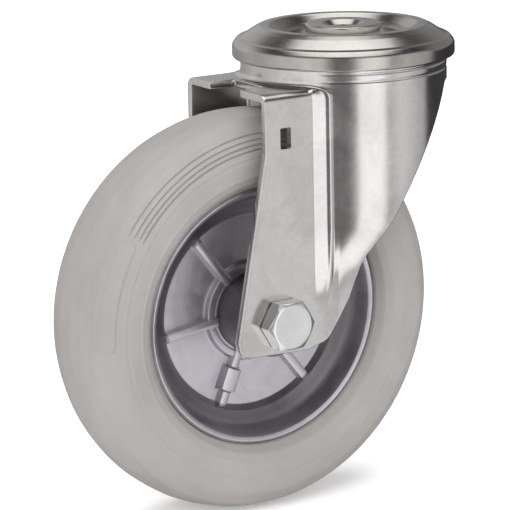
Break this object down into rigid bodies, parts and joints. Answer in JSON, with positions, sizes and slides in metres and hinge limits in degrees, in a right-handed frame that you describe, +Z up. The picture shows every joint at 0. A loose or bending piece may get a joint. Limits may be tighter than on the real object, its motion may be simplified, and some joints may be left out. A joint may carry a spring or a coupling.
{
  "type": "swivel castor wheel",
  "caption": "Swivel castor with a bolt-hole head: round ball-bearing head plate, pressed-steel fork, grey rubber tyre on a ribbed cast rim with a roller bearing.",
  "frame": {"origin": "on the swivel axis, in the flat top face of the centre boss, where the castor is bolted up", "axes": "+Z up along the swivel axis, +X the direction of travel (the wheel trails towards -X), +Y along the wheel's axle"},
  "size_m": [0.1732, 0.0884, 0.189],
  "materials": {
    "zinc_plate": "bright zinc plated pressed steel",
    "zinc_fork": "bright zinc plated pressed steel with a faint spangle",
    "bright_zinc": "pale bright zinc plating",
    "ball_steel": "polished bearing steel",
    "cast_aluminium": "as-cast aluminium, satin",
    "grey_rubber": "light grey elastic rubber, matt",
    "nylon": "natural nylon"
  },
  "bodies": {
    "head": {"head_plate": "zinc_plate", "kingpin_bush": "zinc_plate", "lower_race": "zinc_plate"},
    "upper_balls": {"upper_ball_ring": "ball_steel"},
    "lower_balls": {"lower_ball_ring": "ball_steel"},
    "fork": {"fork": "zinc_fork", "axle_bolt": "bright_zinc", "axle_nut": "bright_zinc", "nut_insert": "nylon", "axle_sleeve": "ball_steel", "near_hub_washer": "zinc_plate", "far_hub_washer": "zinc_plate"},
    "wheel": {"rim": "cast_aluminium", "tyre": "grey_rubber"},
    "roller_cage": {"roller_cage": "nylon"},
    "roller_01": {"roller_01": "ball_steel"},
    "roller_02": {"roller_02": "ball_steel"},
    "roller_03": {"roller_03": "ball_steel"},
    "roller_04": {"roller_04": "ball_steel"},
    "roller_05": {"roller_05": "ball_steel"},
    "roller_06": {"roller_06": "ball_steel"},
    "roller_07": {"roller_07": "ball_steel"},
    "roller_08": {"roller_08": "ball_steel"},
    "roller_09": {"roller_09": "ball_steel"},
    "roller_10": {"roller_10": "ball_steel"}
  },
  "joints": [
    {"name": "swivel", "type": "hinge", "parent": "head", "child": "fork", "pos_m": [0, 0, 0], "axis": [0, 0, 1], "continuous": true},
    {"name": "wheel_spin", "type": "hinge", "parent": "fork", "child": "wheel", "pos_m": [-0.049, 0, -0.109], "axis": [0, 1, 0], "continuous": true},
    {"name": "upper_balls_orbit", "type": "hinge", "parent": "head", "child": "upper_balls", "pos_m": [0, 0, 0], "axis": [0, 0, 1], "continuous": true},
    {"name": "lower_balls_orbit", "type": "hinge", "parent": "head", "child": "lower_balls", "pos_m": [0, 0, 0], "axis": [0, 0, 1], "continuous": true},
    {"name": "cage_orbit", "type": "hinge", "parent": "fork", "child": "roller_cage", "pos_m": [-0.049, 0, -0.109], "axis": [0, 1, 0], "continuous": true},
    {"name": "roller_01_spin", "type": "hinge", "parent": "roller_cage", "child": "roller_01", "pos_m": [-0.03975, 0, -0.109], "axis": [0, 1, 0], "continuous": true},
    {"name": "roller_02_spin", "type": "hinge", "parent": "roller_cage", "child": "roller_02", "pos_m": [-0.04152, 0, -0.10356], "axis": [0, 1, 0], "continuous": true},
    {"name": "roller_03_spin", "type": "hinge", "parent": "roller_cage", "child": "roller_03", "pos_m": [-0.04614, 0, -0.1002], "axis": [0, 1, 0], "continuous": true},
    {"name": "roller_04_spin", "type": "hinge", "parent": "roller_cage", "child": "roller_04", "pos_m": [-0.05186, 0, -0.1002], "axis": [0, 1, 0], "continuous": true},
    {"name": "roller_05_spin", "type": "hinge", "parent": "roller_cage", "child": "roller_05", "pos_m": [-0.05648, 0, -0.10356], "axis": [0, 1, 0], "continuous": true},
    {"name": "roller_06_spin", "type": "hinge", "parent": "roller_cage", "child": "roller_06", "pos_m": [-0.05825, 0, -0.109], "axis": [0, 1, 0], "continuous": true},
    {"name": "roller_07_spin", "type": "hinge", "parent": "roller_cage", "child": "roller_07", "pos_m": [-0.05648, 0, -0.11444], "axis": [0, 1, 0], "continuous": true},
    {"name": "roller_08_spin", "type": "hinge", "parent": "roller_cage", "child": "roller_08", "pos_m": [-0.05186, 0, -0.1178], "axis": [0, 1, 0], "continuous": true},
    {"name": "roller_09_spin", "type": "hinge", "parent": "roller_cage", "child": "roller_09", "pos_m": [-0.04614, 0, -0.1178], "axis": [0, 1, 0], "continuous": true},
    {"name": "roller_10_spin", "type": "hinge", "parent": "roller_cage", "child": "roller_10", "pos_m": [-0.04152, 0, -0.11444], "axis": [0, 1, 0], "continuous": true}
  ],
  "couplings": [
    {"joint": "upper_balls_orbit", "follows": "swivel", "ratio": 0.5},
    {"joint": "lower_balls_orbit", "follows": "swivel", "ratio": 0.5},
    {"joint": "cage_orbit", "follows": "wheel_spin", "ratio": 0.58649},
    {"joint": "roller_01_spin", "follows": "wheel_spin", "ratio": 2.8041},
    {"joint": "roller_02_spin", "follows": "wheel_spin", "ratio": 2.8041},
    {"joint": "roller_03_spin", "follows": "wheel_spin", "ratio": 2.8041},
    {"joint": "roller_04_spin", "follows": "wheel_spin", "ratio": 2.8041},
    {"joint": "roller_05_spin", "follows": "wheel_spin", "ratio": 2.8041},
    {"joint": "roller_06_spin", "follows": "wheel_spin", "ratio": 2.8041},
    {"joint": "roller_07_spin", "follows": "wheel_spin", "ratio": 2.8041},
    {"joint": "roller_08_spin", "follows": "wheel_spin", "ratio": 2.8041},
    {"joint": "roller_09_spin", "follows": "wheel_spin", "ratio": 2.8041},
    {"joint": "roller_10_spin", "follows": "wheel_spin", "ratio": 2.8041}
  ]
}
